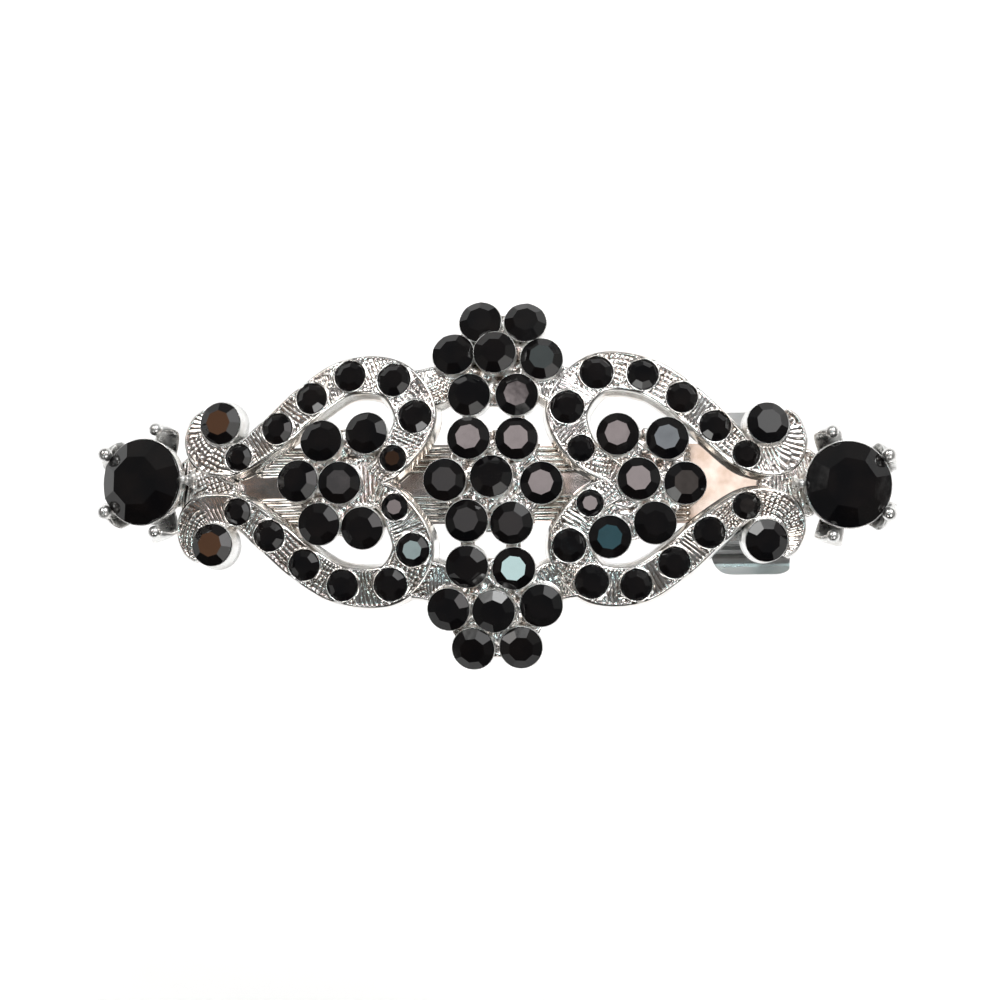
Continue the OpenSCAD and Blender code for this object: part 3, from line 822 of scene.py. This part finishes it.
def studio_world(panels, base):
    """A room of one base colour, with soft-edged round panels of light and shade seen from the clip."""
    world = bpy.data.worlds.new("studio")
    world.use_nodes = True
    bpy.context.scene.world = world
    nodes, links = world.node_tree.nodes, world.node_tree.links
    place = nodes.new("ShaderNodeTexCoord")
    background = nodes["Background"]
    colour = nodes.new("ShaderNodeRGB")
    colour.outputs[0].default_value = (*base, 1)
    out = colour.outputs[0]
    for direction, inner, outer, tone in panels:
        lean = nodes.new("ShaderNodeVectorMath")
        lean.operation = "DOT_PRODUCT"
        lean.inputs[1].default_value = Vector(direction).normalized()
        links.new(place.outputs["Generated"], lean.inputs[0])
        edge = nodes.new("ShaderNodeMapRange")
        edge.interpolation_type = "SMOOTHSTEP"
        edge.inputs["From Min"].default_value = math.cos(math.radians(outer))
        edge.inputs["From Max"].default_value = math.cos(math.radians(inner))
        links.new(lean.outputs["Value"], edge.inputs["Value"])
        mixed = nodes.new("ShaderNodeMix")
        mixed.data_type = "RGBA"
        mixed.inputs["B"].default_value = (*tone, 1)
        links.new(edge.outputs["Result"], mixed.inputs["Factor"])
        links.new(out, mixed.inputs["A"])
        out = mixed.outputs["Result"]
    links.new(out, background.inputs["Color"])


CAMERA_LEAN = (5.5, 6.0)         # degrees to the right and to the front of straight above
CAMERA_TARGET = (0.5, -1.7, 12.5)
CAMERA_AWAY = 0.5                # metres


def main_camera():
    """Looks almost straight down on the face, from a little in front and to the right."""
    lens = bpy.data.cameras.new("camera")
    lens.lens = 180
    lens.clip_end = 10
    made = bpy.data.objects.new("camera", lens)
    bpy.context.scene.collection.objects.link(made)
    to_right, to_front = (math.tan(math.radians(lean)) for lean in CAMERA_LEAN)
    back = Vector((to_right, -to_front, 1)).normalized()
    right = Vector((0, 1, 0)).cross(back).normalized()
    up = back.cross(right)
    turn = Matrix((right, up, back)).transposed().to_4x4()
    made.matrix_world = Matrix.Translation(Vector(CAMERA_TARGET) * MM + back * CAMERA_AWAY) @ turn
    bpy.context.scene.camera = made


def toward(lean_x, lean_y):
    """The direction whose X and Y parts are the sines of these angles, in degrees."""
    x, y = math.sin(math.radians(lean_x)), math.sin(math.radians(lean_y))
    return x, y, math.sqrt(1 - x * x - y * y)


def around(turn, height):
    """The direction at this turn from +X and this height over the horizon, in degrees."""
    t, h = math.radians(turn), math.radians(height)
    return math.cos(t) * math.cos(h), math.sin(t) * math.cos(h), math.sin(h)


PINK, TEAL, BROWN = (6.2, 5.4, 5.4), (10.5, 14.0, 14.0), (1.6, 0.80, 0.44)

ROOM_BASE = (0.10, 0.10, 0.098)
# Panels of the room: direction, the angles in degrees where a panel is full and gone, and its light.
# A later panel covers an earlier one.
ROOM = [
    # broad pale and dark parts of the walls and ceiling
    (around(95, 18), 24, 44, (0.22, 0.22, 0.215)),
    (around(0, 86), 30, 46, (0.10, 0.098, 0.098)),
    (around(14, 20), 8, 20, (0.35, 0.35, 0.34)),
    (around(188, 24), 7, 18, (0.20, 0.19, 0.18)),
    (around(262, 38), 14, 30, (0.035, 0.030, 0.026)),
    (around(80, 16), 5, 13, (0.05, 0.05, 0.05)),
    (around(150, 20), 6, 15, (0.06, 0.055, 0.05)),
    (around(225, 15), 10, 24, (0.03, 0.027, 0.024)),
    (around(290, 18), 12, 26, (0.02, 0.02, 0.02)),
    # windows and lamps, which the facets mirror
    (around(128, 43), 6, 9, (7.5, 7.5, 7.4)),
    (around(62, 46), 6, 10, (7.5, 7.6, 7.6)),
    (around(95, 50), 3, 6, (3.0, 3.0, 3.0)),
    (around(152, 44), 4, 7, (4.0, 3.9, 3.8)),
    (around(28, 44), 4, 7, (2.6, 2.5, 2.5)),
    (around(238, 40), 4, 8, (4.5, 4.5, 4.4)),
    (around(300, 46), 4, 8, (4.0, 4.0, 4.0)),
    # what the tables of single stones mirror
    (toward(17.5, 6.3), 3, 5, (1.5, 1.3, 1.2)),
    (toward(-32.9, 9.3), 1.0, 2.1, BROWN),
    (toward(-33.9, 4.0), 1.0, 2.1, BROWN),
    (toward(-15.4, 10.3), 1.2, 2.4, (0.7, 0.36, 0.2)),
    (toward(-6.6, 6.8), 2.2, 3.4, (1.1, 1.05, 1.05)),
    (toward(-5.6, 13.7), 2.5, 3.3, PINK),
    (toward(-2.0, 6.6), 1.6, 2.5, PINK),
    (toward(3.7, 2.7), 1.0, 1.8, PINK),
    (toward(-15.3, 2.0), 1.0, 1.8, (4.4, 3.8, 3.8)),
    (toward(-0.5, 14.2), 0.9, 1.9, (4.3, 4.6, 4.9)),
    (toward(-3.8, -10.8), 1.6, 2.6, (0.8, 0.75, 0.75)),
    (toward(-1.6, -2.4), 1.5, 2.6, TEAL),
    (toward(4.6, 28.2), 1.1, 2.3, (1.2, 1.4, 1.4)),
    (toward(-13.6, -5.4), 1.3, 2.4, (5.6, 7.0, 7.0)),
    (toward(-0.1, -6.9), 1.2, 2.2, (0.6, 1.5, 1.8)),
]

studio_floor()
main_camera()
studio_world(ROOM, ROOM_BASE)
area_light("key", (0.36, 0.52, 0.57), (0.5, 0.5), 1.8)
area_light("fill", (0.35, -0.42, 0.60), (0.45, 0.35), 0.8, (1, 0.98, 0.95))
bpy.context.scene.view_settings.view_transform = "Standard"
